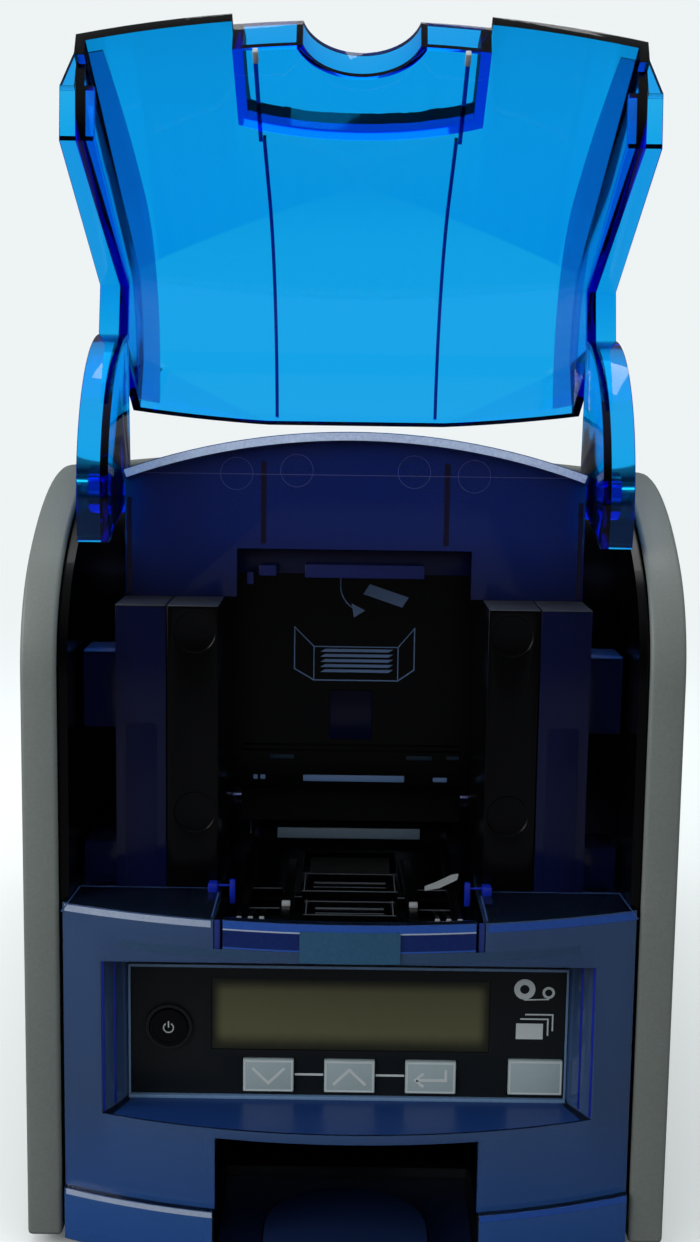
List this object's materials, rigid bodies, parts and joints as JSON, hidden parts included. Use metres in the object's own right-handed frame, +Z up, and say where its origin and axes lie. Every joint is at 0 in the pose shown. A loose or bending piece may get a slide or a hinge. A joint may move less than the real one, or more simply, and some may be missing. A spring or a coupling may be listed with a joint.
{
  "type": "card printer",
  "caption": "Desktop card printer with a see-through blue front cover swung open on two round arms, a card hopper, a display with keys and a card exit.",
  "frame": {"origin": "centre of the bounding box's base, on the table, with the front cover open", "axes": "+Z up, +Y from the front to the back, +X to the right seen from the front"},
  "size_m": [0.175, 0.391, 0.328],
  "materials": {
    "warm_grey_abs": "fine moulded texture",
    "black_abs": "glossy moulded",
    "navy_clear_abs": "see-through, glossy",
    "deep_blue_clear_abs": "see-through, glossy",
    "sky_blue_clear_abs": "see-through, glossy",
    "zinc_steel": "zinc plated",
    "dark_painted_steel": "satin paint",
    "polished_steel": "ground",
    "rubber": "matte",
    "slate_plate": "satin",
    "key_abs": "satin",
    "ring_abs": "satin",
    "window_acrylic": "clear and glossy",
    "circuit_board": "solder mask",
    "anodised_bar": "satin",
    "bronze": "sintered",
    "ribbon_black": "satin",
    "ceramic_head": "satin"
  },
  "bodies": {
    "root": {"base_pan": "zinc_steel", "feet": "rubber", "side_panel_left": "warm_grey_abs", "side_panel_right": "warm_grey_abs", "inner_wall_left": "black_abs", "inner_wall_right": "black_abs", "rear_panel": "dark_painted_steel", "front_bezel": "navy_clear_abs", "output_tray": "navy_clear_abs", "output_chute": "black_abs", "display_plate": "slate_plate", "display_window": "window_acrylic", "display_module": "black_abs", "display_board": "circuit_board", "power_ring": "ring_abs", "hopper_frame": "deep_blue_clear_abs", "hopper_roof": "deep_blue_clear_abs", "card_guide_left": "black_abs", "card_guide_right": "black_abs", "hopper_back": "black_abs", "feed_gate": "anodised_bar", "card_tray": "black_abs", "cover_hinge_pins": "polished_steel", "top_cover_pins": "polished_steel", "engine_plate_left": "zinc_steel", "engine_plate_right": "zinc_steel", "engine_ties": "zinc_steel", "shaft_bushes": "bronze", "drive_motor": "dark_painted_steel", "drive_belt": "rubber", "ribbon_film": "ribbon_black", "head_shaft": "polished_steel", "main_board": "circuit_board", "power_supply": "zinc_steel", "fan_frame": "black_abs", "usb_port": "zinc_steel", "network_port": "zinc_steel", "power_inlet": "black_abs", "rear_screws": "polished_steel"},
    "cover": {"cover_panel": "sky_blue_clear_abs", "cover_arm_left": "sky_blue_clear_abs", "cover_arm_right": "sky_blue_clear_abs"},
    "top_cover": {"top_cover": "deep_blue_clear_abs"},
    "power_button": {"power_button": "black_abs"},
    "key_down": {"key_down": "key_abs"},
    "key_up": {"key_up": "key_abs"},
    "key_enter": {"key_enter": "key_abs"},
    "key_user": {"key_user": "key_abs"},
    "pick_roller": {"pick_roller": "rubber"},
    "feed_roller": {"feed_roller": "rubber"},
    "platen_roller": {"platen_roller": "rubber"},
    "eject_roller": {"eject_roller": "rubber"},
    "feed_idler": {"feed_idler": "polished_steel"},
    "eject_idler": {"eject_idler": "polished_steel"},
    "motor_pulley": {"motor_pulley": "bronze"},
    "supply_spool": {"supply_spool": "ribbon_black"},
    "takeup_spool": {"takeup_spool": "ribbon_black"},
    "print_head": {"print_head": "ceramic_head", "head_arm": "black_abs"},
    "fan_rotor": {"fan_rotor": "black_abs"}
  },
  "joints": [
    {"name": "cover_hinge", "type": "hinge", "parent": "root", "child": "cover", "pos_m": [0, -0.1198, 0.2057], "axis": [1, 0, 0], "range_deg": [0, 121]},
    {"name": "top_cover_hinge", "type": "hinge", "parent": "root", "child": "top_cover", "pos_m": [0, 0.1865, 0.18842], "axis": [-1, 0, 0], "range_deg": [0, 75]},
    {"name": "power_button_press", "type": "slide", "parent": "root", "child": "power_button", "axis": [0, 1, 0], "range_m": [0, 0.001], "stiffness_N_per_m": 400},
    {"name": "key_down_press", "type": "slide", "parent": "root", "child": "key_down", "axis": [0, 1, 0], "range_m": [0, 0.0006], "stiffness_N_per_m": 500},
    {"name": "key_up_press", "type": "slide", "parent": "root", "child": "key_up", "axis": [0, 1, 0], "range_m": [0, 0.0006], "stiffness_N_per_m": 500},
    {"name": "key_enter_press", "type": "slide", "parent": "root", "child": "key_enter", "axis": [0, 1, 0], "range_m": [0, 0.0006], "stiffness_N_per_m": 500},
    {"name": "key_user_press", "type": "slide", "parent": "root", "child": "key_user", "axis": [0, 1, 0], "range_m": [0, 0.0006], "stiffness_N_per_m": 500},
    {"name": "platen_roller_spin", "type": "hinge", "parent": "root", "child": "platen_roller", "pos_m": [0, 0.024, 0.086], "axis": [1, 0, 0], "continuous": true},
    {"name": "pick_roller_spin", "type": "hinge", "parent": "root", "child": "pick_roller", "pos_m": [0, -0.1165, 0.0845], "axis": [1, 0, 0], "continuous": true},
    {"name": "feed_roller_spin", "type": "hinge", "parent": "root", "child": "feed_roller", "pos_m": [0, -0.0735, 0.086], "axis": [1, 0, 0], "continuous": true},
    {"name": "eject_roller_spin", "type": "hinge", "parent": "root", "child": "eject_roller", "pos_m": [0, 0.1215, 0.086], "axis": [1, 0, 0], "continuous": true},
    {"name": "motor_pulley_spin", "type": "hinge", "parent": "root", "child": "motor_pulley", "pos_m": [0, 0.072, 0.052], "axis": [1, 0, 0], "continuous": true},
    {"name": "feed_idler_spin", "type": "hinge", "parent": "root", "child": "feed_idler", "pos_m": [0, -0.0735, 0.1011], "axis": [1, 0, 0], "continuous": true},
    {"name": "eject_idler_spin", "type": "hinge", "parent": "root", "child": "eject_idler", "pos_m": [0, 0.1215, 0.1011], "axis": [1, 0, 0], "continuous": true},
    {"name": "supply_spool_spin", "type": "hinge", "parent": "root", "child": "supply_spool", "pos_m": [0, 0.086, 0.135], "axis": [1, 0, 0], "continuous": true},
    {"name": "takeup_spool_spin", "type": "hinge", "parent": "root", "child": "takeup_spool", "pos_m": [0, -0.036, 0.135], "axis": [1, 0, 0], "continuous": true},
    {"name": "head_lift", "type": "hinge", "parent": "root", "child": "print_head", "pos_m": [0, 0.056, 0.128], "axis": [-1, 0, 0], "range_deg": [0, 20]},
    {"name": "fan_spin", "type": "hinge", "parent": "root", "child": "fan_rotor", "pos_m": [0, -0.1785, 0.096], "axis": [0, 1, 0], "continuous": true}
  ],
  "couplings": [
    {"joint": "pick_roller_spin", "follows": "platen_roller_spin", "ratio": 1},
    {"joint": "feed_roller_spin", "follows": "platen_roller_spin", "ratio": 1},
    {"joint": "eject_roller_spin", "follows": "platen_roller_spin", "ratio": 1},
    {"joint": "motor_pulley_spin", "follows": "platen_roller_spin", "ratio": 1.6667}
  ]
}
